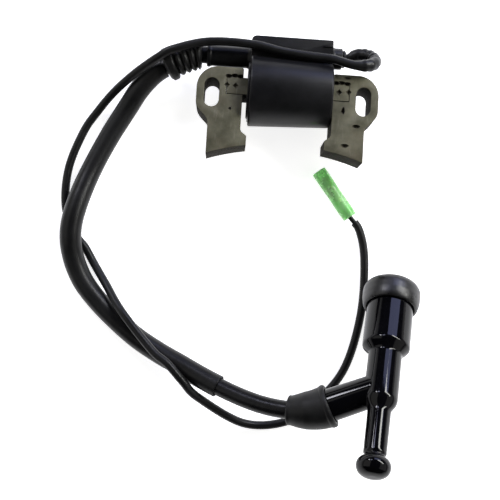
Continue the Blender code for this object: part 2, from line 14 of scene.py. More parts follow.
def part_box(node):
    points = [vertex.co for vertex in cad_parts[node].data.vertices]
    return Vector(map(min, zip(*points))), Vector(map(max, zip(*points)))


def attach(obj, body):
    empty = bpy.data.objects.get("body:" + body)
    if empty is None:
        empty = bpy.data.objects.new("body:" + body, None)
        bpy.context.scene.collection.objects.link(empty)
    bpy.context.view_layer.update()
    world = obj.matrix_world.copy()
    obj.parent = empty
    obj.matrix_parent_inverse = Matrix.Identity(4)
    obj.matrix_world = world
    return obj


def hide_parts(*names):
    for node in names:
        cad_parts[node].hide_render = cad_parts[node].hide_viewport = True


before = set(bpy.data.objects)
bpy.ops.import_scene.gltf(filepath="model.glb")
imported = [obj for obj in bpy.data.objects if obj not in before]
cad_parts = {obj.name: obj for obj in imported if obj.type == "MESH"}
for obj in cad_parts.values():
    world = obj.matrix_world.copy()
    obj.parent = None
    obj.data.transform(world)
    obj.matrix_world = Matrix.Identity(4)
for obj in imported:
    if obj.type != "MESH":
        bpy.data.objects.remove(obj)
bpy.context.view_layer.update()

MM = 0.001

# Laminated core
STACK_BACK = 8.0
STACK_FRONT = 23.0
LAMINATION = 0.5
SLOT_X = 34.0
SLOT_RADIUS = 3.35
SLOT_REACH = 3.15
EAR_X = 40.8
LEG_OUTER_X = 35.0
LEG_INNER_X = 20.2
LEG_TOP_Y = 11.8
LEG_BOTTOM_Y = -27.6
SHOULDER_RADIUS = 9.4
FOOT_X = 17.4
FOOT_TOP_Y = -18.8
FOOT_CHAMFER = 1.8
POLE_RADIUS = 105.0
CROSSBAR_Y = 3.5
CROSSBAR_HALF = 3.75
CROSSBAR_END_X = 27.4
JOINT_GAP = 0.22
NIB_XS = (25.3, 22.0)
NIB_HEIGHT = 0.7
CORE_EDGE = 0.22

# Housing
AXIS_Z = 15.5
BARREL_LEFT = (-17.2, 16.0)
BARREL_RIGHT = (19.8, 14.5)
END_DISC = (-18.2, 12.7)
CAVITY_RADIUS = 13.7
BLOCK_LEFT_X = -17.5
BLOCK_RIGHT_X = 19.5
BLOCK_TOP_Y = 27.6
BLOCK_FRONT_Z = 22.0
CUP_BOTTOM_Y = -7.5
WALL = 1.6
NECK_Y = 19.0
NECK_Z = 15.0
NECK_END_X = -37.3
NECK_RADIUS = 4.7
BOSS_Y = 21.2
BOSS_Z = 15.0
BOSS_END_X = 24.3
BOSS_RADIUS = 4.8

# Cords
LEAD_RADIUS = 3.9
SHEATH_RADIUS = 4.8
SHEATH_BORE = 4.45
SHEATH_ENDS = (20.0, 213.5)
WIRE_RADIUS = 1.1
SLEEVE_RADIUS = 1.9
SLEEVE_BORE = 1.6
SLEEVE_START = 4.6
SLEEVE_BACKSET = 3.2
CONNECTOR_TIP = np.array((17.7, -29.2, 3.6))
CONNECTOR_WIRE_END = np.array((33.5, -49.8, 3.6))

# Spark plug cap
CAP_MOUTH = np.array((54.0, -79.1, 8.6))
CAP_HEADING = np.array((-13.3, -76.2, 0.0)) / math.hypot(13.3, 76.2)
CAP_TILT = math.radians(30)
CAP_AXIS = CAP_HEADING * math.cos(CAP_TILT) + np.array((0.0, 0.0, math.sin(CAP_TILT)))
CAP_JUNCTION = CAP_MOUTH + CAP_AXIS * 54.0
ARM_MOUTH = np.array((21.1, -135.9, 29.95))
ARM_AXIS = (ARM_MOUTH - CAP_JUNCTION) / np.linalg.norm(ARM_MOUTH - CAP_JUNCTION)
ARM_RADIUS = 7.1
ARM_LENGTH = 29.0
ARM_BORE = 4.4

# Camera, lights and stage, in metres
CAMERA_PLACE = (-0.0224, -0.09647, 0.38553)
CAMERA_VIEW = (0.02682, 0.07412, -0.99689)
CAMERA_UP = (-0.06264, 0.99541, 0.07233)
CAMERA_LENS = 59.54

# Route of the high-tension lead, in metres, from the housing's neck to inside the cap's arm
HT_ROUTE = [
    (-0.0381, 0.019, 0.015), (-0.0416, 0.0188, 0.015), (-0.0463, 0.0173, 0.0147), (-0.051, 0.0153, 0.0141),
    (-0.0555, 0.0132, 0.0135), (-0.06, 0.0103, 0.0126), (-0.0642, 0.0063, 0.0112), (-0.0683, 0.0012, 0.0094),
    (-0.072, -0.0048, 0.0074), (-0.0758, -0.0112, 0.0059), (-0.0794, -0.0176, 0.0051), (-0.0838, -0.0268, 0.0049),
    (-0.0876, -0.036, 0.0054), (-0.0904, -0.0446, 0.007), (-0.0925, -0.053, 0.0087), (-0.0939, -0.061, 0.0095),
    (-0.094, -0.0684, 0.0091), (-0.0928, -0.0754, 0.0072), (-0.0902, -0.0824, 0.0056), (-0.0856, -0.0898, 0.00495),
    (-0.076, -0.0998, 0.0051), (-0.063, -0.1102, 0.0063), (-0.051, -0.1172, 0.0083), (-0.0405, -0.1222, 0.0109),
    (-0.0305, -0.127, 0.014), (-0.021, -0.131, 0.017), (-0.0141, -0.1335, 0.0193), (-0.0092, -0.135, 0.021),
    (-0.0049, -0.1361, 0.0224), (-0.0005, -0.1369, 0.0239), (0.0039, -0.1374, 0.0253), (0.0092, -0.1376, 0.027),
    (0.015, -0.1372, 0.0285), (0.0211, -0.1359, 0.02995), (0.028, -0.1329, 0.0315), (0.035, -0.1299, 0.0331),
]

# Route of the stop-switch lead, in metres, from the housing's boss to its bullet connector
PRIMARY_ROUTE = [
    (0.0165, 0.0212, 0.015), (0.022, 0.0212, 0.015), (0.0268, 0.0218, 0.0149), (0.0312, 0.0237, 0.0152),
    (0.0362, 0.023, 0.0172), (0.0386, 0.0195, 0.0213), (0.0364, 0.0163, 0.0255), (0.0312, 0.015, 0.0272),
    (0.0265, 0.0155, 0.027), (0.0185, 0.018, 0.0251), (0.0085, 0.0189, 0.0243), (-0.0033, 0.02, 0.0243),
    (-0.0174, 0.0224, 0.0243), (-0.0367, 0.0224, 0.0238), (-0.052, 0.0179, 0.024), (-0.0579, 0.0148, 0.0227),
    (-0.069, 0.008, 0.0165), (-0.0792, 0.0006, 0.0086), (-0.087, -0.0078, 0.0032), (-0.093, -0.0176, 0.0021),
    (-0.0986, -0.0352, 0.0021), (-0.0986, -0.0532, 0.0021), (-0.0928, -0.0662, 0.0021), (-0.0884, -0.0713, 0.0021),
    (-0.0834, -0.079, 0.0025), (-0.077, -0.088, 0.0055), (-0.0682, -0.0999, 0.0122), (-0.0532, -0.1161, 0.016),
    (-0.046, -0.1214, 0.0172), (-0.0387, -0.1288, 0.0171), (-0.0316, -0.1358, 0.0133), (-0.0102, -0.1473, 0.0039),
    (0.0094, -0.1456, 0.0021), (0.0229, -0.1358, 0.0021), (0.0349, -0.1196, 0.0021), (0.0411, -0.0943, 0.0021),
    (0.0414, -0.0694, 0.0025), (0.0383, -0.056, 0.0036), (0.0339, -0.0503, 0.0036), (0.0292, -0.0442, 0.0036),
]


# ---------------------------------------------------------------- shapes

def unit(vectors):
    return vectors / np.linalg.norm(vectors, axis=-1, keepdims=True)


def line(origin, axis, low=-60.0, high=120.0):
    """A straight path: a point lies at the origin plus its station times the axis."""
    stations = np.array([low, high])
    return stations, np.array(origin) + stations[:, None] * np.array(axis)


def smooth_route(route, eased=9):
    """A cord's path: a Catmull-Rom curve through the route, spaced evenly at a third of a millimetre.

    A running mean then eases its bends, and its two ends stay where the route puts them.
    """
    knots = np.array(route) / MM
    knots = np.vstack([2 * knots[0] - knots[1], knots, 2 * knots[-1] - knots[-2]])
    a, b, c, d = knots[:-3, None], knots[1:-2, None], knots[2:-1, None], knots[3:, None]
    t = np.linspace(0, 1, 40, endpoint=False)[None, :, None]
    curve = 0.5 * (2 * b + (c - a) * t + (2 * a - 5 * b + 4 * c - d) * t ** 2 + (3 * b - a - 3 * c + d) * t ** 3)
    curve = np.vstack([curve.reshape(-1, 3), knots[-2]])
    travelled = np.concatenate([[0], np.cumsum(np.linalg.norm(np.diff(curve, axis=0), axis=1))])
    even = np.linspace(0, travelled[-1], int(travelled[-1] * 3))
    curve = np.stack([np.interp(even, travelled, curve[:, k]) for k in range(3)], axis=1)
    reach = eased // 2
    before = 2 * curve[0] - curve[reach:0:-1]
    after = 2 * curve[-1] - curve[-2:-reach - 2:-1]
    padded = np.vstack([before, curve, after])
    weights = np.ones(eased) / eased
    eased_curve = np.stack([np.convolve(padded[:, k], weights, "valid") for k in range(3)], axis=1)
    return even, eased_curve


def along(path, stations):
    """Places on a path, with the level and the upward direction across it at each."""
    at, points = path
    slope = np.gradient(points, at, axis=0)
    place = np.stack([np.interp(stations, at, points[:, k]) for k in range(3)], axis=1)
    ahead = unit(np.stack([np.interp(stations, at, slope[:, k]) for k in range(3)], axis=1))
    across = unit(np.cross((0.0, 0.0, 1.0), ahead))
    return place, across, np.cross(ahead, across)


def eased_profile(corners, ease, closed=False, steps=5):
    """A profile of (station, radius) corners, each rounded by a parabola that starts ease before it."""
    corners = np.array(corners, float)
    before = np.roll(corners, 1, axis=0)
    after = np.roll(corners, -1, axis=0)
    if not closed:
        before[0] = corners[0]
        after[-1] = corners[-1]
    back = before - corners
    forward = after - corners
    t = np.linspace(0, 1, steps)[None, :, None]
    reach_back = np.minimum(0.5, ease / np.maximum(np.linalg.norm(back, axis=1), 1e-9))[:, None]
    reach_forward = np.minimum(0.5, ease / np.maximum(np.linalg.norm(forward, axis=1), 1e-9))[:, None]
    start = (corners + back * reach_back)[:, None]
    end = (corners + forward * reach_forward)[:, None]
    curve = (1 - t) ** 2 * start + 2 * t * (1 - t) * corners[:, None] + t ** 2 * end
    curve = curve.reshape(-1, 2)
    kept = np.concatenate([[True], np.linalg.norm(np.diff(curve, axis=0), axis=1) > 1e-4])
    return curve[kept]


def fine_profile(profile, step):
    """A profile with rows added along it, so that none is further than step from the next."""
    spans = np.linalg.norm(np.diff(profile, axis=0), axis=1)
    travelled = np.concatenate([[0], np.cumsum(spans)])
    extra = [np.linspace(a, b, max(1, int(np.ceil((b - a) / step))), endpoint=False)
             for a, b in zip(travelled[:-1], travelled[1:])]
    at = np.concatenate(extra + [travelled[-1:]])
    return np.stack([np.interp(at, travelled, profile[:, k]) for k in range(2)], axis=1)


def turned(path, profile, sides, closed=False, shaped=None):
    """Rings round a path: each point is its station's place plus its radius, turned by its angle.

    shaped, if given, takes stations and angles and returns what is added to the radius there.
    A closed profile joins its last ring to its first, and an open one is capped at both ends.
    """
    stations, radii = profile[:, 0], profile[:, 1]
    place, across, upward = along(path, stations)
    angles = np.linspace(0, 2 * np.pi, sides, endpoint=False)
    grown = radii[:, None] + (shaped(stations[:, None], angles[None]) if shaped else 0.0)
    ring = np.cos(angles)[None, :, None] * across[:, None] + np.sin(angles)[None, :, None] * upward[:, None]
    points = place[:, None] + ring * np.broadcast_to(grown, (len(stations), sides))[:, :, None]
    index = np.arange(len(stations) * sides).reshape(-1, sides)
    rows = np.vstack([index, index[:1]]) if closed else index
    beside = np.roll(rows, -1, axis=1)
    faces = np.stack([rows[:-1], beside[:-1], beside[1:], rows[1:]], axis=-1).reshape(-1, 4).tolist()
    if not closed:
        faces += [index[0, ::-1].tolist(), index[-1].tolist()]
    return points.reshape(-1, 3), faces, np.repeat(stations, sides)


def grid(width_steps, length_steps, place):
    """A closed slab from a function place(u, v, side) on a grid, where side is 0 below and 1 above."""
    u, v = np.meshgrid(np.linspace(0, 1, width_steps), np.linspace(0, 1, length_steps), indexing="ij")
    points = np.concatenate([place(u, v, side).reshape(-1, 3) for side in (0, 1)])
    count = width_steps * length_steps
    index = np.arange(count).reshape(width_steps, length_steps)
    quads = np.stack([index[:-1, :-1], index[1:, :-1], index[1:, 1:], index[:-1, 1:]], axis=-1).reshape(-1, 4)
    rim = np.concatenate([index[:-1, 0], index[-1, :-1], index[:0:-1, -1], index[0, :0:-1]])
    beside = np.roll(rim, -1)
    walls = np.stack([rim, beside, beside + count, rim + count], axis=-1)
    return points, np.concatenate([quads[:, ::-1], quads + count, walls]).tolist()


def raw_object(name, points, faces):
    """A mesh object from points in millimetres, with its faces turned outwards."""
    mesh = bpy.data.meshes.new(name)
    mesh.from_pydata((np.asarray(points) * MM).tolist(), [], faces)
    facing_out(mesh)
    made = bpy.data.objects.new(name, mesh)
    bpy.context.scene.collection.objects.link(made)
    return made


def facing_out(mesh):
    shell = bmesh.new()
    shell.from_mesh(mesh)
    if shell.calc_volume(signed=True) < 0:
        bmesh.ops.reverse_faces(shell, faces=shell.faces)
    shell.to_mesh(mesh)
    shell.free()


def drop(made):
    bpy.data.objects.remove(made, do_unlink=True)


def settled(made, name):
    """The object as its modifiers or its curve leave it, as a plain mesh with its doubles merged."""
    bpy.context.view_layer.update()
    ready = made.evaluated_get(bpy.context.evaluated_depsgraph_get())
    mesh = bpy.data.meshes.new_from_object(ready)
    mesh.transform(made.matrix_world)
    drop(made)
    shell = bmesh.new()
    shell.from_mesh(mesh)
    bmesh.ops.remove_doubles(shell, verts=shell.verts, dist=1e-6)
    shell.to_mesh(mesh)
    shell.free()
    facing_out(mesh)
    fresh = bpy.data.objects.new(name, mesh)
    bpy.context.scene.collection.objects.link(fresh)
    return fresh


def carved(base, *steps):
    """The base after a row of Boolean steps, each an operation and its tool."""
    for operation, tool in steps:
        step = base.modifiers.new(operation.title(), "BOOLEAN")
        step.operation = operation
        step.solver = "EXACT"
        step.object = tool
    fresh = settled(base, base.name)
    for operation, tool in steps:
        drop(tool)
    return fresh


def plate(name, outlines, low, high, edge):
    """Outlines filled and raised from low to high with rounded edges; an outline inside another is a hole."""
    curve = bpy.data.curves.new(name, "CURVE")
    curve.dimensions = "2D"
    curve.fill_mode = "BOTH"
    curve.extrude = ((high - low) / 2 - edge) * MM
    curve.bevel_depth = edge * MM
    curve.bevel_resolution = 2
    curve.offset = -edge * MM
    for outline in outlines:
        spline = curve.splines.new("POLY")
        spline.points.add(len(outline) - 1)
        corners = np.zeros((len(outline), 4))
        corners[:, :2] = np.array(outline) * MM
        corners[:, 3] = 1.0
        spline.points.foreach_set("co", corners.ravel())
        spline.use_cyclic_u = True
    made = bpy.data.objects.new(name, curve)
    bpy.context.scene.collection.objects.link(made)
    made.matrix_world = Matrix.Translation((0.0, 0.0, (low + high) / 2 * MM))
    return settled(made, name)


def box(low, high):
    """A plain cutting block between two corners."""
    x, y, z = np.meshgrid(*[np.array(pair, float) for pair in zip(low, high)], indexing="ij")
    points = np.stack([x, y, z], axis=-1).reshape(-1, 3)
    faces = [(0, 1, 3, 2), (4, 6, 7, 5), (0, 4, 5, 1), (2, 3, 7, 6), (0, 2, 6, 4), (1, 5, 7, 3)]
    return raw_object("cutting_block", points, faces)


def rod(path, profile, sides):
    """A turned solid for a Boolean step."""
    points, faces, stations = turned(path, np.array(profile, float), sides)
    return raw_object("turned_solid", points, faces)


def arc(centre, radius, start, end, steps):
    """Points on an arc, with its angles in degrees."""
    angles = np.radians(np.linspace(start, end, steps))
    return np.stack([centre[0] + radius * np.cos(angles), centre[1] + radius * np.sin(angles)], axis=1)


def place_piece(made, finish, body, nodes=(), crease=35):
    """Gives a finished mesh its material, its shading, its body and the nodes it stands for."""
    made.data.materials.clear()
    made.data.materials.append(finish)
    made.data.shade_smooth()
    made.data.set_sharp_from_angle(angle=math.radians(crease))
    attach(made, body)
    if nodes:
        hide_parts(*nodes)
    return made


def turned_piece(name, path, profile, sides, finish, body, nodes=(), closed=False, shaped=None):
    """A turned shape as a finished piece, with its station kept as the attribute along, in metres."""
    points, faces, stations = turned(path, profile, sides, closed, shaped)
    made = raw_object(name, points, faces)
    station = made.data.attributes.new("along", "FLOAT", "POINT")
    station.data.foreach_set("value", (stations * MM).astype(np.float32))
    return place_piece(made, finish, body, nodes)


# ---------------------------------------------------------------- finishes

def add(tree, kind, **settings):
    made = tree.nodes.new("ShaderNode" + kind)
    for setting, value in settings.items():
        setattr(made, setting, value)
    return made


def noise(tree, place, scale, detail=4.0, roughness=0.55):
    made = add(tree, "TexNoise")
    tree.links.new(place, made.inputs["Vector"])
    made.inputs["Scale"].default_value = scale
    made.inputs["Detail"].default_value = detail
    made.inputs["Roughness"].default_value = roughness
    return made.outputs["Fac"]


def stretched(tree, place, stretch):
    made = add(tree, "Mapping")
    tree.links.new(place, made.inputs["Vector"])
    made.inputs["Scale"].default_value = stretch
    return made.outputs["Vector"]


def sums(tree, operation, *values):
    """A Math node on sockets or numbers."""
    made = add(tree, "Math", operation=operation)
    for socket, value in zip(made.inputs, values):
        if isinstance(value, (int, float)):
            socket.default_value = value
        else:
            tree.links.new(value, socket)
    return made.outputs[0]


def spread(tree, value, low, high, new_low=0.0, new_high=1.0):
    """A value between low and high, moved to between new_low and new_high, and held there."""
    made = add(tree, "MapRange")
    tree.links.new(value, made.inputs["Value"])
    for socket, number in zip(("From Min", "From Max", "To Min", "To Max"), (low, high, new_low, new_high)):
        made.inputs[socket].default_value = number
    return made.outputs["Result"]


def tint(tree, share, first, second):
    """A colour between two, which are colours or sockets."""
    made = add(tree, "Mix", data_type="RGBA")
    sockets = [socket for socket in made.inputs if socket.type == "RGBA"]
    for socket, colour in zip(sockets, (first, second)):
        if isinstance(colour, tuple):
            socket.default_value = (*colour, 1.0)
        else:
            tree.links.new(colour, socket)
    tree.links.new(share, made.inputs["Factor"])
    return next(socket for socket in made.outputs if socket.type == "RGBA")


def relief(tree, height, depth, under=None):
    """Bump of a depth in metres, on top of another bump's normal."""
    made = add(tree, "Bump")
    made.inputs["Strength"].default_value = 1.0
    made.inputs["Distance"].default_value = depth
    tree.links.new(height, made.inputs["Height"])
    if under is not None:
        tree.links.new(under, made.inputs["Normal"])
    return made.outputs["Normal"]


class Finish:
    """A material in the making: its tree, shader and object coordinates."""

    def __init__(self, name, **values):
        self.material = bpy.data.materials.new(name)
        self.material.use_nodes = True
        self.tree = self.material.node_tree
        self.shader = self.tree.nodes["Principled BSDF"]
        for socket, value in values.items():
            self.shader.inputs[socket.replace("_", " ")].default_value = value
        self.place = add(self.tree, "TexCoord").outputs["Object"]

    def set(self, socket, value):
        self.tree.links.new(value, self.shader.inputs[socket])

    def axis(self, letter):
        split = add(self.tree, "SeparateXYZ")
        self.tree.links.new(self.place, split.inputs[0])
        return split.outputs[letter]

    def attribute(self, name):
        made = add(self.tree, "Attribute", attribute_name=name)
        return made.outputs["Fac"]


def moulded(name, dark, light, patch, grain, rough, depth, **values):
    """A moulded or drawn surface: cloudy colour and gloss in patches, and a fine grain in relief."""
    made = Finish(name, **values)
    tree = made.tree
    clouds = noise(tree, made.place, patch, 5.0)
    specks = noise(tree, made.place, grain, 3.0)
    share = sums(tree, "MULTIPLY_ADD", specks, 0.3, sums(tree, "MULTIPLY", clouds, 0.7))
    made.set("Base Color", tint(tree, spread(tree, share, 0.35, 0.65), dark, light))
    made.set("Roughness", spread(tree, clouds, 0.32, 0.68, rough[0], rough[1]))
    made.normal = relief(tree, specks, depth)
    made.set("Normal", made.normal)
    return made


def core_steel_finish():
    """Rolled steel: a dull oxide with rubbed patches in front, and the stack's edges as dark and bright lines, darker
    than the front partly by their own tone and partly by painted shade.
    """
    made = Finish("laminated_core_steel")
    tree = made.tree
    clouds = noise(tree, made.place, 130.0, 6.0, 0.62)
    specks = noise(tree, made.place, 1900.0, 4.0, 0.6)
    rubbed = noise(tree, stretched(tree, made.place, (900.0, 160.0, 900.0)), 1.0, 4.0)
    stains = noise(tree, made.place, 55.0, 3.0)
    scale = tint(tree, spread(tree, clouds, 0.36, 0.66), (0.078, 0.075, 0.047), (0.140, 0.134, 0.090))
    scale = tint(tree, spread(tree, specks, 0.5, 0.72, 0.0, 0.45), scale, (0.095, 0.09, 0.074))
    scale = tint(tree, spread(tree, rubbed, 0.58, 0.74, 0.0, 0.4), scale, (0.20, 0.193, 0.15))
    scale = tint(tree, spread(tree, stains, 0.52, 0.7, 0.0, 0.3), scale, (0.15, 0.118, 0.078))
    layer = sums(tree, "FRACT", sums(tree, "MULTIPLY", made.axis("Z"), 1.0 / (LAMINATION * MM)))
    line_share = sums(tree, "ABSOLUTE", sums(tree, "SUBTRACT", layer, 0.5))
    uneven = noise(tree, stretched(tree, made.place, (220.0, 220.0, 2000.0)), 1.0, 2.0)
    grooves = spread(tree, sums(tree, "ADD", line_share, sums(tree, "MULTIPLY", uneven, 0.18)), 0.42, 0.54)
    facing = add(tree, "SeparateXYZ")
    tree.links.new(add(tree, "NewGeometry").outputs["True Normal"], facing.inputs[0])
    edge_on = spread(tree, sums(tree, "ABSOLUTE", facing.outputs["Z"]), 0.75, 0.4)
    # The side faces' colour: the cut edges' own darker tone, deepened by painted shade that stands for the shaded slot
    # walls and pole faces.
    edge_tone_and_shade = tint(tree, spread(tree, uneven, 0.35, 0.65), (0.020, 0.018, 0.014), (0.052, 0.047, 0.036))
    edge_tone_and_shade = tint(tree, grooves, edge_tone_and_shade, (0.006, 0.0055, 0.005))
    made.set("Base Color", tint(tree, edge_on, scale, edge_tone_and_shade))
    worn = spread(tree, clouds, 0.3, 0.7, 0.42, 0.62)
    made.set("Roughness", sums(tree, "MAXIMUM", worn, sums(tree, "MULTIPLY", edge_on, 0.8)))
    made.set("Metallic", spread(tree, edge_on, 0.0, 1.0, 0.35, 0.0))
    made.set("Specular IOR Level", spread(tree, edge_on, 0.0, 1.0, 0.4, 0.08))
    grain = relief(tree, specks, 0.00003)
    trough = sums(tree, "MULTIPLY", sums(tree, "MULTIPLY", grooves, edge_on), -1.0)
    made.set("Normal", relief(tree, trough, 0.00008, grain))
    return made.material


def housing_finish():
    """Satin black resin, with the faint swirl of the mould and a few rubbed specks."""
    made = moulded("satin_black_resin", (0.004, 0.004, 0.0046), (0.009, 0.009, 0.0102), 90.0, 2600.0,
                   (0.34, 0.44), 0.000012, Specular_IOR_Level=0.24)
    tree = made.tree
    swirl = noise(tree, stretched(tree, made.place, (60.0, 500.0, 500.0)), 1.0, 3.0)
    made.set("Normal", relief(tree, swirl, 0.00001, made.normal))
    return made.material


def cap_finish():
    """Polished black phenolic, slightly wavy, with fine wiping marks in its gloss."""
    made = moulded("polished_black_phenolic", (0.001, 0.001, 0.0015), (0.0028, 0.0028, 0.0038), 70.0, 900.0,
                   (0.055, 0.13), 0.000004, Specular_IOR_Level=0.22)
    tree = made.tree
    marks = noise(tree, stretched(tree, made.place, (2400.0, 90.0, 2400.0)), 1.0, 3.0)
    clouds = noise(tree, made.place, 120.0, 4.0)
    wiped = sums(tree, "MULTIPLY", spread(tree, marks, 0.58, 0.75), spread(tree, clouds, 0.4, 0.65))
    made.set("Roughness", spread(tree, wiped, 0.0, 1.0, 0.07, 0.2))
    made.set("Normal", relief(tree, clouds, 0.00003, made.normal))
    return made.material


def rubber_finish():
    """Matt black rubber: grey bloom in patches, and dust specks."""
    made = moulded("matt_black_rubber", (0.005, 0.005, 0.0052), (0.013, 0.013, 0.0132), 110.0, 3000.0,
                   (0.38, 0.54), 0.00002, Specular_IOR_Level=0.22)
    return made.material


def cord_finish(name, dark, light, rough, ripple):
    """An extruded jacket: faint rings where it was drawn and bent, and smudges in its gloss."""
    made = moulded(name, dark, light, 60.0, 2200.0, rough, 0.000008, Specular_IOR_Level=0.22)
    tree = made.tree
    rings = add(tree, "TexNoise", noise_dimensions="1D")
    tree.links.new(made.attribute("along"), rings.inputs["W"])
    rings.inputs["Scale"].default_value = 700.0
    rings.inputs["Detail"].default_value = 3.0
    dents = noise(tree, made.place, 260.0, 2.0)
    rippled = relief(tree, rings.outputs["Fac"], ripple, made.normal)
    made.set("Normal", relief(tree, dents, ripple * 3.0, rippled))
    return made.material


def green_vinyl_finish():
    """Clear green vinyl, cloudy in places."""
    made = Finish("clear_green_vinyl", Transmission_Weight=0.6, IOR=1.42, Specular_IOR_Level=0.5)
    tree = made.tree
    clouds = noise(tree, made.place, 160.0, 4.0)
    streaks = noise(tree, stretched(tree, made.place, (500.0, 120.0, 500.0)), 1.0, 3.0)
    share = spread(tree, sums(tree, "ADD", clouds, sums(tree, "MULTIPLY", streaks, 0.5)), 0.55, 0.95)
    made.set("Base Color", tint(tree, share, (0.34, 0.84, 0.28), (0.58, 0.95, 0.50)))
    made.set("Roughness", spread(tree, clouds, 0.3, 0.7, 0.16, 0.34))
    made.set("Normal", relief(tree, streaks, 0.00004))
    return made.material


def wound_finish(name, wire, shade_between_turns, pitch, **values):
    """Enamelled wire wound side by side: round crests each pitch along the bar, and painted shade darkening each turn
    from its crest into the valley between turns.
    """
    made = Finish(name, **values)
    tree = made.tree
    turn = sums(tree, "MULTIPLY", made.axis("X"), 2 * math.pi / (pitch * MM))
    crest = spread(tree, sums(tree, "SINE", turn), -1.0, 0.6)
    clouds = noise(tree, made.place, 240.0, 4.0)
    shade = sums(tree, "MULTIPLY", crest, spread(tree, clouds, 0.2, 0.6, 0.6, 1.0))
    # Painted shade: the second colour darkens each turn from its crest into the valley between turns.
    made.set("Base Color", tint(tree, shade, shade_between_turns, wire))
    made.set("Roughness", spread(tree, clouds, 0.3, 0.7, 0.22, 0.4))
    made.set("Normal", relief(tree, crest, pitch * MM * 0.35))
    return made.material


def metal_finish(name, dark, light, rough):
    """Plated or drawn metal: tarnish in patches and fine drawing lines."""
    made = moulded(name, dark, light, 300.0, 3500.0, rough, 0.000006, Metallic=1.0)
    return made.material


def board_finish():
    """Green laminate with a woven glass texture."""
    made = moulded("green_laminate", (0.008, 0.075, 0.03), (0.02, 0.13, 0.05), 200.0, 2500.0, (0.3, 0.45), 0.00001)
    tree = made.tree
    warp = sums(tree, "SINE", sums(tree, "MULTIPLY", made.axis("X"), 9000.0))
    weft = sums(tree, "SINE", sums(tree, "MULTIPLY", made.axis("Y"), 9000.0))
    made.set("Normal", relief(tree, sums(tree, "MULTIPLY", warp, weft), 0.00001, made.normal))
    return made.material


def potting_finish():
    """Cast black resin: smooth and shiny, with a few burst bubbles."""
    made = moulded("cast_potting_resin", (0.009, 0.009, 0.01), (0.02, 0.019, 0.019), 50.0, 900.0,
                   (0.14, 0.3), 0.00001, Specular_IOR_Level=0.55)
    tree = made.tree
    cells = add(tree, "TexVoronoi")
    tree.links.new(made.place, cells.inputs["Vector"])
    cells.inputs["Scale"].default_value = 420.0
    pits = spread(tree, cells.outputs["Distance"], 0.0, 0.16)
    made.set("Normal", relief(tree, pits, 0.00012, made.normal))
    return made.material


# ---------------------------------------------------------------- laminated core

def mirrored(outline):
    return np.array(outline)[::-1] * (-1, 1)


def leg_outline():
    """The right leg: ear with a round shoulder, straight shank, foot with a pole face, and the crossbar's notch."""
    shoulder = arc((EAR_X - SHOULDER_RADIUS, LEG_TOP_Y - SHOULDER_RADIUS), SHOULDER_RADIUS, 90, 0, 28)
    ear_lower = [(EAR_X, -4.2), (40.7, -5.3), (40.3, -6.4), (39.5, -7.7), (38.6, -8.8), (37.4, -10.0),
                 (36.3, -11.0), (35.6, -11.9), (35.2, -12.9), (LEG_OUTER_X, -14.2)]
    rim_x = np.linspace(LEG_OUTER_X, FOOT_X, 24)
    rim_y = LEG_BOTTOM_Y - math.sqrt(POLE_RADIUS ** 2 - LEG_OUTER_X ** 2) + np.sqrt(POLE_RADIUS ** 2 - rim_x ** 2)
    heel = [(FOOT_X, FOOT_TOP_Y), (LEG_INNER_X - 0.4, FOOT_TOP_Y + FOOT_CHAMFER),
            (LEG_INNER_X, FOOT_TOP_Y + FOOT_CHAMFER + 1.0)]
    low = CROSSBAR_Y - CROSSBAR_HALF - JOINT_GAP
    notch = [(LEG_INNER_X, low)] + crossbar_end(JOINT_GAP) + [(LEG_INNER_X, crossbar_end(JOINT_GAP)[-1][1])]
    top_corner = arc((LEG_INNER_X + 1.0, LEG_TOP_Y - 1.0), 1.0, 180, 90, 8)
    return np.vstack([shoulder, ear_lower, np.stack([rim_x, rim_y], axis=1), heel, notch, top_corner])


def crossbar_end(grow):
    """The crossbar's right end, with two nibs on its top edge, grown by a clearance."""
    low = CROSSBAR_Y - CROSSBAR_HALF - grow
    high = CROSSBAR_Y + CROSSBAR_HALF + grow
    tip = CROSSBAR_END_X + grow
    points = [(tip, low), (tip, high)]
    for nib_x in NIB_XS:
        points += [(nib_x + 1.1 + grow / 2, high), (nib_x + 0.7 + grow / 2, high + NIB_HEIGHT),
                   (nib_x - 0.7 - grow / 2, high + NIB_HEIGHT), (nib_x - 1.1 - grow / 2, high)]
    return points


def punch_mark(x, y, half_width, half_height, depth, sides):
    """A tool that leaves a pit in the front face: a blunt point with its widest ring just above the face."""
    angles = np.linspace(0, 2 * np.pi, sides, endpoint=False)
    rings = []
    for share, height in ((1.15, 0.3), (1.0, 0.0), (0.45, -0.75 * depth), (0.12, -depth)):
        rings.append(np.stack([x + half_width * share * np.cos(angles), y + half_height * share * np.sin(angles),
                               np.full(sides, STACK_FRONT + height)], axis=1))
    index = np.arange(4 * sides).reshape(4, sides)
    beside = np.roll(index, -1, axis=1)
    faces = np.stack([index[:-1], beside[:-1], beside[1:], index[1:]], axis=-1).reshape(-1, 4).tolist()
    faces += [index[0, ::-1].tolist(), index[-1].tolist()]
    return raw_object("punch", np.concatenate(rings), faces)


# Pits in the stack's front face: half width, half height, depth and sides of the punch
STAKE_PIT = (1.3, 1.4, 1.3, 4)
SEAM_PIT = (1.6, 0.9, 2.0, 12)

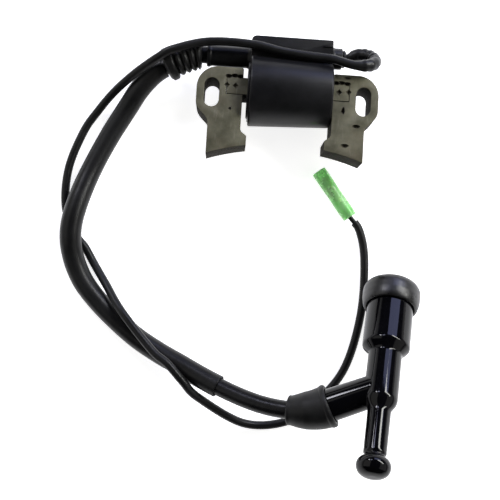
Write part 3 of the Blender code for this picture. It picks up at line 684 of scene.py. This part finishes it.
# Where each side's pits lie; an interlock also gives its half width, half height and depth
STAKE_MARKS = {"left": [(-27.3, 3.65), (-23.5, 3.55)], "right": [(22.9, 3.65), (27.2, 3.95)]}
UPSET_SEAMS = {"left": [(-26.7, 7.65), (-24.1, 7.95), (-21.5, 7.7)], "right": [(21.4, 7.7), (23.9, 7.95), (26.4, 7.6)]}
INTERLOCKS = {
    "left": [(-25.4, -7.0, 0.6, 0.7, 1.2)],
    "right": [(26.4, 10.2, 1.6, 0.5, 1.0), (25.1, -4.7, 0.75, 1.6, 1.7), (31.3, -11.4, 1.9, 0.8, 1.7),
              (26.6, -20.4, 1.9, 0.85, 1.7)],
}


def pits(marks, pit):
    """A cut for each mark, all made by the same punch."""
    return [("DIFFERENCE", punch_mark(x, y, *pit)) for x, y in marks]


def make_core(finish):
    """Two legs and the crossbar between them, with stakes and upset seams at the joints, and interlocks."""
    slot = np.vstack([arc((SLOT_X, SLOT_REACH), SLOT_RADIUS, 0, 180, 30),
                      arc((SLOT_X, -SLOT_REACH), SLOT_RADIUS, 180, 360, 30)])
    for side, flip in (("left", True), ("right", False)):
        outlines = [leg_outline(), slot]
        if flip:
            outlines = [mirrored(outline) for outline in outlines]
        leg = plate("core_leg_plate_" + side, outlines, STACK_BACK, STACK_FRONT, CORE_EDGE)
        tools = pits(STAKE_MARKS[side], STAKE_PIT)
        tools += [("DIFFERENCE", punch_mark(*mark, 16)) for mark in INTERLOCKS[side]]
        tools += pits(UPSET_SEAMS[side], SEAM_PIT)
        place_piece(carved(leg, *tools), finish, "root", ["core_leg_" + side], 30)
    right_end = np.array(crossbar_end(0.0))
    bar = plate("core_crossbar_plate", [np.vstack([right_end, mirrored(right_end)])], STACK_BACK, STACK_FRONT, 0.12)
    tools = pits(STAKE_MARKS["left"] + STAKE_MARKS["right"], STAKE_PIT)
    tools += pits(UPSET_SEAMS["left"] + UPSET_SEAMS["right"], SEAM_PIT)
    place_piece(carved(bar, *tools), finish, "root", ["core_crossbar"], 30)


# ---------------------------------------------------------------- housing

def block_outline():
    """The igniter block seen from the front, with a large round at its top left corner."""
    right = [(BLOCK_RIGHT_X, CUP_BOTTOM_Y)]
    top_right = arc((BLOCK_RIGHT_X - 0.7, BLOCK_TOP_Y - 0.7), 0.7, 0, 90, 5)
    top_left = arc((BLOCK_LEFT_X + 2.4, BLOCK_TOP_Y - 2.4), 2.4, 90, 180, 14)
    return np.vstack([right, top_right, top_left, [(BLOCK_LEFT_X, CUP_BOTTOM_Y)]])


def make_housing(finish):
    """Drafted barrel, end disc, block, neck and boss as one moulding, hollow and open at the back."""
    barrel_line = line((0, CROSSBAR_Y, AXIS_Z), (1, 0, 0))
    neck_line = line((0, NECK_Y, NECK_Z), (1, 0, 0))
    boss_line = line((0, BOSS_Y, BOSS_Z), (1, 0, 0))
    (left_x, left_radius), (right_x, right_radius) = BARREL_LEFT, BARREL_RIGHT
    disc_x, disc_radius = END_DISC
    barrel = [(left_x, 1.0), (left_x, left_radius), (right_x, right_radius), (right_x, 1.0)]
    disc = [(disc_x, 1.0), (disc_x, disc_radius), (left_x + 1.0, disc_radius), (left_x + 1.0, 1.0)]
    neck = [(NECK_END_X, 4.0), (NECK_END_X, 5.2), (NECK_END_X + 1.5, 5.25), (NECK_END_X + 2.0, NECK_RADIUS),
            (BLOCK_LEFT_X - 1.2, NECK_RADIUS + 0.05), (BLOCK_LEFT_X + 0.1, NECK_RADIUS + 1.1),
            (BLOCK_LEFT_X + 3.0, NECK_RADIUS + 1.1)]
    boss = [(BLOCK_RIGHT_X - 3.0, BOSS_RADIUS + 0.7), (BLOCK_RIGHT_X, BOSS_RADIUS + 0.7),
            (BLOCK_RIGHT_X + 0.9, BOSS_RADIUS), (BOSS_END_X, BOSS_RADIUS), (BOSS_END_X, 3.4)]
    shapes = [rod(path, eased_profile(corners, ease), sides) for path, corners, ease, sides in (
        (barrel_line, barrel, 0.9, 160), (barrel_line, disc, 0.5, 120),
        (neck_line, neck, 0.7, 72), (boss_line, boss, 0.6, 72))]
    shapes[0] = carved(shapes[0], ("DIFFERENCE", box((-30, -20, -6), (30, 25, 0))))
    block = plate("housing_moulding", [block_outline()], 0.0, BLOCK_FRONT_Z, 0.6)
    front_relief = box((BLOCK_LEFT_X - 1, CUP_BOTTOM_Y - 1, AXIS_Z), (BLOCK_RIGHT_X + 1, CROSSBAR_Y, 24))
    pocket = box((14.6, 20.9, BLOCK_FRONT_Z - 0.5), (BLOCK_RIGHT_X + 1, 24.4, BLOCK_FRONT_Z + 1))
    winding_room = rod(barrel_line, [(left_x + 1.4, CAVITY_RADIUS), (right_x - 1.4, CAVITY_RADIUS)], 120)
    room_left, room_right = BLOCK_LEFT_X + WALL, BLOCK_RIGHT_X - WALL
    igniter_room = box((room_left, CUP_BOTTOM_Y + WALL, -1.0), (room_right, BLOCK_TOP_Y - WALL, 6.0))
    upper_room = box((room_left, CROSSBAR_Y + 8.0, 4.5), (room_right, BLOCK_TOP_Y - WALL, BLOCK_FRONT_Z - WALL))
    bar_half = CROSSBAR_HALF + 0.3
    bar_hole = box((-30, CROSSBAR_Y - bar_half, STACK_BACK - 0.3), (30, CROSSBAR_Y + bar_half, STACK_FRONT + 0.3))
    neck_bore = rod(neck_line, [(NECK_END_X - 2, 4.05), (NECK_END_X + 4.0, 4.05), (NECK_END_X + 4.1, 3.0),
                                (room_left + 1, 3.0)], 48)
    boss_bore = rod(boss_line, [(room_right - 1, 3.3), (BOSS_END_X + 2, 3.3)], 48)
    moulding = carved(block, ("DIFFERENCE", front_relief), *[("UNION", shape) for shape in shapes],
                      ("DIFFERENCE", winding_room), ("DIFFERENCE", igniter_room), ("DIFFERENCE", upper_room),
                      ("DIFFERENCE", bar_hole), ("DIFFERENCE", neck_bore), ("DIFFERENCE", boss_bore),
                      ("DIFFERENCE", pocket))
    return place_piece(moulding, finish, "root", ["housing"], 28)


def make_potting(finish):
    """Resin poured into the back: level in the middle, and drawn up where it wets the walls."""
    low, high = [np.array(corner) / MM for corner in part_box("potting_compound")]

    def place(u, v, side):
        x = low[0] + (high[0] - low[0]) * u
        y = low[1] + (high[1] - low[1]) * v
        to_wall = np.minimum(np.minimum(x - low[0], high[0] - x), np.minimum(y - low[1], high[1] - y))
        wave = 0.05 * np.sin(0.31 * x + 1.0) * np.sin(0.27 * y)
        surface = low[2] + 0.35 * (1 - np.exp(-to_wall / 1.1)) + wave * np.minimum(to_wall, 1.0)
        return np.stack([x, y, surface if side == 0 else np.full_like(x, high[2])], axis=-1)

    points, faces = grid(110, 100, place)
    place_piece(raw_object("potting_surface", points, faces), finish, "root",
                ["potting_compound"], 50)


# ---------------------------------------------------------------- leads

def sleeve_profile(corners, ease, step):
    """A hollow piece's closed profile, eased at its corners and with rows no further apart than step."""
    eased = eased_profile(corners, ease, closed=True)
    return fine_profile(np.vstack([eased, eased[:1]]), step)[:-1]


def grommet_profile(start, length, ribs, bore):
    """Four round ribs with tight valleys, then a broad collar, over a plain bore."""
    pitch = (length - 5.0) / ribs
    along_ribs = np.linspace(0, ribs * pitch, ribs * 22 + 1)
    crests = 5.55 + 1.3 * np.abs(np.sin(np.pi * along_ribs / pitch)) ** 0.75
    collar = eased_profile([(length - 5.0, 5.6), (length - 4.5, 7.35), (length - 3.6, 7.7), (length - 1.3, 7.7),
                            (length, 6.2), (length, bore)], 0.5)
    outside = np.vstack([[(0.0, bore)], np.stack([along_ribs, crests], axis=1), collar[1:]])
    return outside + (start, 0.0)


def make_high_tension(lead_finish, sheath_finish, rubber):
    """The lead, its sheath, the ribbed grommet by the housing and the tapered boot by the cap."""
    path = smooth_route(HT_ROUTE)
    total = path[0][-1]
    inner = smooth_route([(NECK_END_X * MM + 0.0028, NECK_Y * MM, NECK_Z * MM)] + HT_ROUTE)
    far = inner[0][-1]
    core = fine_profile(eased_profile([(0.0, 2.2), (0.0, LEAD_RADIUS), (far, LEAD_RADIUS), (far, 2.2)], 0.5), 0.9)
    lead = turned_piece("plug_lead", inner, core, 40, lead_finish, "root", ["ht_lead"])
    low, high = SHEATH_ENDS

    def slack(stations, angles):
        """Loose tubing: long shallow swells, and flats that turn slowly round it."""
        swell = 0.07 * np.sin(stations / 9.0) * np.sin(stations / 23.0 + 1.0)
        return swell + 0.06 * np.cos(2 * angles + stations / 17.0)

    tube = sleeve_profile([(low, SHEATH_BORE), (low, SHEATH_RADIUS), (high, SHEATH_RADIUS), (high, SHEATH_BORE)],
                          0.22, 0.9)
    sheath = turned_piece("plug_lead_sheath", path, tube, 48, sheath_finish, "root", ["ht_sheath"],
                          closed=True, shaped=lambda s, a: np.where(tube[:, 1:] > 4.6, slack(s, a), 0.0))
    ribs = grommet_profile(1.6, 17.6, 4, 4.5)
    grommet = turned_piece("ribbed_lead_grommet", path, ribs, 72, rubber, "root",
                           ["ht_grommet"], closed=True)
    start = total - 3.0 - 26.4
    corners = np.array([(0.0, 4.6), (0.0, 6.0), (0.5, 6.45), (1.4, 6.35), (2.0, 6.5), (4.0, 7.1), (7.6, 8.0),
                        (14.0, 8.8), (16.4, 9.0), (16.8, 9.35), (18.0, 9.4), (18.8, 9.0), (18.8, 7.5),
                        (9.0, 7.5), (7.8, 4.6)])
    boot = turned_piece("cap_lead_cover", path, sleeve_profile(corners + (start, 0.0), 0.35, 0.8), 96, rubber,
                        "root", ["cap_lead_boot"], closed=True)
    return lead, sheath, grommet, boot, path


def make_stop_lead(wire_finish, sleeve_finish, rubber, brass, green):
    """The stop-switch wire in its sleeve, the small grommet it leaves by, and its bullet connector."""
    path = smooth_route(PRIMARY_ROUTE)
    total = path[0][-1]
    axis = unit(CONNECTOR_WIRE_END - CONNECTOR_TIP)
    length = np.linalg.norm(CONNECTOR_WIRE_END - CONNECTOR_TIP)
    past = np.linalg.norm(np.array(PRIMARY_ROUTE[-1]) / MM - CONNECTOR_WIRE_END) + SLEEVE_BACKSET
    low, high = SLEEVE_START, total - past
    tube = sleeve_profile([(low, SLEEVE_BORE), (low, SLEEVE_RADIUS), (high, SLEEVE_RADIUS), (high, SLEEVE_BORE)],
                          0.12, 0.8)

    def gathered(stations, angles):
        """The sleeving swells and creases where it is pushed together round its tight turn."""
        turn = 1 / (1 + np.exp(-(stations - 12.5) * 1.6)) / (1 + np.exp((stations - 38.0) * 0.9))
        creases = 0.13 * np.sin(stations * 2.1 + 0.8 * np.sin(angles)) + 0.08 * np.sin(stations * 5.3 + angles)
        return turn * (0.9 + creases)

    sleeve = turned_piece("stop_lead_sleeve", path, tube, 32, sleeve_finish, "root",
                          ["primary_sleeve"], closed=True, shaped=gathered)
    core = fine_profile(eased_profile([(0.0, 0.5), (0.0, WIRE_RADIUS), (total, WIRE_RADIUS), (total, 0.5)], 0.2), 0.8)
    wire = turned_piece("stop_wire", path, core, 24, wire_finish, "root", ["primary_wire"])
    outlet = sleeve_profile([(21.6, 2.3), (25.2, 2.5), (25.9, 2.7), (25.9, 3.4), (25.4, 3.9), (24.6, 3.9),
                             (24.6, 2.95), (21.6, 2.95)], 0.25, 0.5)
    grommet = turned_piece("stop_wire_grommet", line((0, BOSS_Y, BOSS_Z), (1, 0, 0)), outlet, 64, rubber, "root",
                           ["primary_outlet_grommet"], closed=True)
    place = line(CONNECTOR_TIP, axis)
    cover = sleeve_profile([(0.0, 2.9), (0.0, 3.3), (0.6, 3.42), (9.5, 3.5), (12.5, 3.42), (length - 4.0, 3.5),
                            (length, 3.2), (length, 2.7), (length - 3.0, 2.85)], 0.3, 0.5)

    def pressed(stations, angles):
        """The vinyl keeps a slight oval where it grips the terminal."""
        grip = np.exp(-((stations - 11.5) / 5.0) ** 2)
        return -0.1 * grip * np.cos(2 * angles)

    green_sleeve = turned_piece("connector_cover", place, cover, 64, green, "connector_sleeve",
                                ["bullet_sleeve"], closed=True, shaped=pressed)
    socket = sleeve_profile([(4.0, 1.7), (4.0, 2.1), (4.3, 2.2), (13.0, 2.2), (14.0, 1.75), (15.2, 1.35), (16.0, 1.7),
                             (18.6, 1.7), (18.6, 0.3), (15.0, 0.3), (14.0, 0.8), (12.4, 1.7)], 0.2, 0.4)

    def crimped(stations, angles):
        """The crimp squeezes the tail of the terminal on to the wire's strands from two sides."""
        tail = 1 / (1 + np.exp(-(stations - 15.6) * 5.0))
        return -0.16 * tail * (1 + np.cos(2 * angles))

    terminal = turned_piece("bullet_socket", place, socket, 48, brass, "root",
                            ["bullet_terminal"], closed=True,
                            shaped=lambda s, a: np.where(socket[:, 1:] > 1.2, crimped(s, a), 0.0))
    return sleeve, wire, grommet, green_sleeve, terminal, path, (low, high)


# ---------------------------------------------------------------- spark plug cap

def make_cap(phenolic, rubber):
    """The cap's one-piece body with its arm, and the rubber ring on its plug end."""
    stem = line(CAP_MOUTH, CAP_AXIS)
    arm = line(CAP_JUNCTION, ARM_AXIS)
    outside = [(4.7, 1.0), (4.7, 9.9), (5.1, 10.3), (34.4, 10.3), (35.2, 9.9), (37.6, 7.5), (38.2, 7.2), (59.8, 7.2),
               (61.6, 6.6), (63.8, 5.1), (65.0, 4.9), (83.4, 4.75), (83.9, 4.4), (84.6, 4.4), (85.1, 4.9),
               (86.4, 6.5), (88.0, 7.1), (89.6, 7.1), (91.6, 6.2), (92.9, 4.3), (93.4, 2.2), (93.4, 0.6)]
    body = rod(stem, fine_profile(eased_profile(outside, 0.9, steps=7), 4.0), 128)
    body.name = "cap_moulding"
    arm_shape = rod(arm, fine_profile(eased_profile([(0.0, ARM_RADIUS - 0.4), (ARM_LENGTH, ARM_RADIUS),
                                                     (ARM_LENGTH, 1.0)], 0.5), 4.0), 112)
    plug_bore = rod(stem, [(-1.0, 8.2), (29.0, 8.0), (33.0, 4.6), (56.0, 4.2), (58.0, 2.0)], 88)
    arm_bore = rod(arm, [(0.0, 2.0), (10.0, 2.0), (10.4, ARM_BORE), (ARM_LENGTH + 2, ARM_BORE)], 64)
    moulding = carved(body, ("UNION", arm_shape), ("DIFFERENCE", plug_bore), ("DIFFERENCE", arm_bore))
    cap = place_piece(moulding, phenolic, "cap", ["cap_body"], 30)
    ring = sleeve_profile([(2.7, 8.6), (2.7, 10.2), (3.1, 11.2), (3.9, 12.1), (5.4, 12.8), (7.0, 12.95), (10.0, 12.85),
                           (12.6, 12.4), (14.0, 11.9), (14.5, 11.3), (14.5, 10.6), (4.4, 10.6), (4.4, 8.9)],
                          0.6, 0.6)
    boot = turned_piece("plug_end_ring", stem, ring, 128, rubber, "cap", ["cap_plug_boot"],
                        closed=True)
    return cap, boot


# ---------------------------------------------------------------- camera, lights and stage

def make_camera():
    data = bpy.data.cameras.new("camera")
    data.lens = CAMERA_LENS
    data.sensor_width = 36.0
    made = bpy.data.objects.new("camera", data)
    bpy.context.scene.collection.objects.link(made)
    back = -Vector(CAMERA_VIEW).normalized()
    right = Vector(CAMERA_UP).cross(back).normalized()
    turn = Matrix((right, back.cross(right), back)).transposed().to_4x4()
    made.matrix_world = Matrix.Translation(CAMERA_PLACE) @ turn
    bpy.context.scene.camera = made


def soft_light(name, place, target, width, height, power, colour):
    data = bpy.data.lights.new(name, "AREA")
    data.shape = "RECTANGLE"
    data.size = width
    data.size_y = height
    data.energy = power
    data.color = colour
    made = bpy.data.objects.new(name, data)
    bpy.context.scene.collection.objects.link(made)
    aim = (Vector(target) - Vector(place)).to_track_quat("-Z", "Y")
    made.matrix_world = Matrix.Translation(place) @ aim.to_matrix().to_4x4()


def make_lights():
    soft_light("window_panel", (0.33, 0.66, 0.42), (0.03, -0.1, 0.03), 0.62, 0.30, 2.6, (0.52, 0.57, 1.0))
    soft_light("window_glare", (0.61, 0.38, 0.60), (0.035, -0.15, 0.05), 0.74, 0.13, 8.5, (1.0, 1.0, 0.95))
    soft_light("door_glare", (-0.26, 0.56, 0.56), (0.03, -0.14, 0.04), 0.16, 0.12, 0.8, (0.72, 0.74, 1.0))
    soft_light("arm_glare", (-0.42, 0.465, 0.43), (0.03, -0.13, 0.03), 0.10, 0.16, 1.5, (0.92, 0.92, 1.0))
    soft_light("left_fill", (-0.95, 0.05, 0.75), (0.0, -0.06, 0.02), 1.3, 1.0, 3.2, (1.0, 0.99, 0.95))
    soft_light("right_fill", (0.95, -0.3, 0.75), (0.0, -0.06, 0.02), 1.3, 1.0, 2.6, (1.0, 0.99, 0.95))


def make_world():
    """A dark room with a white skirting just above the table's far edge."""
    world = bpy.data.worlds.new("studio")
    world.use_nodes = True
    bpy.context.scene.world = world
    tree = world.node_tree
    where = add(tree, "TexCoord")
    split = add(tree, "SeparateXYZ")
    tree.links.new(where.outputs["Generated"], split.inputs[0])
    ramp = add(tree, "ValToRGB")
    tree.links.new(split.outputs["Z"], ramp.inputs[0])
    low, high = ramp.color_ramp.elements
    low.position, low.color = 0.06, (1.0, 1.0, 1.0, 1.0)
    high.position, high.color = 0.16, (0.02, 0.02, 0.021, 1.0)
    tree.links.new(ramp.outputs["Color"], tree.nodes["Background"].inputs["Color"])
    tree.nodes["Background"].inputs["Strength"].default_value = 0.9


def make_floor():
    """A pale table top with a very faint mottle, large enough to fill every view."""
    half = 20.0
    u = np.array((-half, half))
    corners = [(u[0], u[0], 0.0), (u[1], u[0], 0.0), (u[1], u[1], 0.0), (u[0], u[1], 0.0)]
    mesh = bpy.data.meshes.new("floor")
    mesh.from_pydata(corners, [], [(0, 1, 2, 3)])
    floor = bpy.data.objects.new("floor", mesh)
    bpy.context.scene.collection.objects.link(floor)
    floor.location.z = -0.0001
    paint = Finish("pale_table", Roughness=0.8, Specular_IOR_Level=0.1, Emission_Strength=0.94)
    clouds = noise(paint.tree, paint.place, 4.0, 3.0)
    shade = tint(paint.tree, clouds, (0.86, 0.86, 0.86), (0.9, 0.9, 0.9))
    paint.set("Base Color", shade)
    paint.set("Emission Color", shade)
    mesh.materials.append(paint.material)


# ---------------------------------------------------------------- the whole coil

def dress(node, finish):
    """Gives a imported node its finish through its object's slots; its mesh stays as it is."""
    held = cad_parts[node]
    if not held.material_slots:
        held.data.materials.append(None)
    for holder in held.material_slots:
        holder.link = "OBJECT"
        holder.material = finish


def main():
    rubber = rubber_finish()
    lead_jacket = cord_finish("plug_lead_jacket", (0.004, 0.004, 0.0044), (0.009, 0.009, 0.0095), (0.24, 0.36),
                              0.000015)
    sheathing = cord_finish("vinyl_sheathing", (0.005, 0.005, 0.0052), (0.012, 0.012, 0.0122), (0.3, 0.42), 0.00002)
    wire_jacket = cord_finish("thin_wire_jacket", (0.004, 0.004, 0.004), (0.009, 0.009, 0.009), (0.28, 0.4), 0.00001)
    brass = metal_finish("drawn_brass", (0.42, 0.28, 0.1), (0.74, 0.56, 0.27), (0.2, 0.38))
    spring_steel = metal_finish("bright_spring_steel", (0.3, 0.3, 0.31), (0.6, 0.6, 0.6), (0.18, 0.34))
    nylon = moulded("bobbin_nylon", (0.5, 0.47, 0.38), (0.72, 0.69, 0.6), 90.0, 2000.0, (0.38, 0.52), 0.00001).material
    # Each winding's second colour is painted shade between its turns.
    copper = wound_finish("enamelled_copper", (0.66, 0.25, 0.085), (0.1, 0.028, 0.01), 0.55, Metallic=0.9)
    fine_wire = wound_finish("lacquered_fine_wire", (0.34, 0.1, 0.03), (0.12, 0.03, 0.01), 0.12, Metallic=0.7)
    chip = moulded("chip_moulding", (0.012, 0.012, 0.013), (0.028, 0.028, 0.03), 200.0, 5000.0, (0.42, 0.6),
                   0.000008).material
    ceramic = moulded("resistor_ceramic", (0.58, 0.55, 0.48), (0.82, 0.79, 0.72), 180.0, 2600.0, (0.36, 0.55),
                      0.00001).material
    lip_rubber = moulded("soft_black_rubber", (0.005, 0.005, 0.0052), (0.014, 0.014, 0.0142), 160.0, 3000.0,
                         (0.26, 0.44), 0.00002, Specular_IOR_Level=0.45).material
    make_core(core_steel_finish())
    make_housing(housing_finish())
    make_potting(potting_finish())
    lead, sheath, grommet, cover, lead_path = make_high_tension(lead_jacket, sheathing, rubber)
    sleeve, wire, outlet, green_sleeve, terminal, wire_path, sleeve_ends = make_stop_lead(
        wire_jacket, sheathing, rubber, brass, green_vinyl_finish())
    cap, ring = make_cap(cap_finish(), lip_rubber)
    for node, finish in (("primary_bobbin", nylon), ("secondary_bobbin", nylon), ("primary_winding", copper),
                         ("secondary_winding", fine_wire), ("igniter_board", board_finish()),
                         ("power_transistor", chip), ("control_chip", chip), ("primary_solder_pin", brass),
                         ("core_ground_strip", brass), ("ht_terminal_pin", brass), ("cap_lead_screw", brass),
                         ("cap_plug_terminal", spring_steel), ("cap_spring", spring_steel),
                         ("cap_resistor", ceramic)):
        dress(node, finish)
    make_floor()
    make_world()
    make_lights()
    make_camera()
    bpy.context.scene.view_settings.view_transform = "Standard"


main()
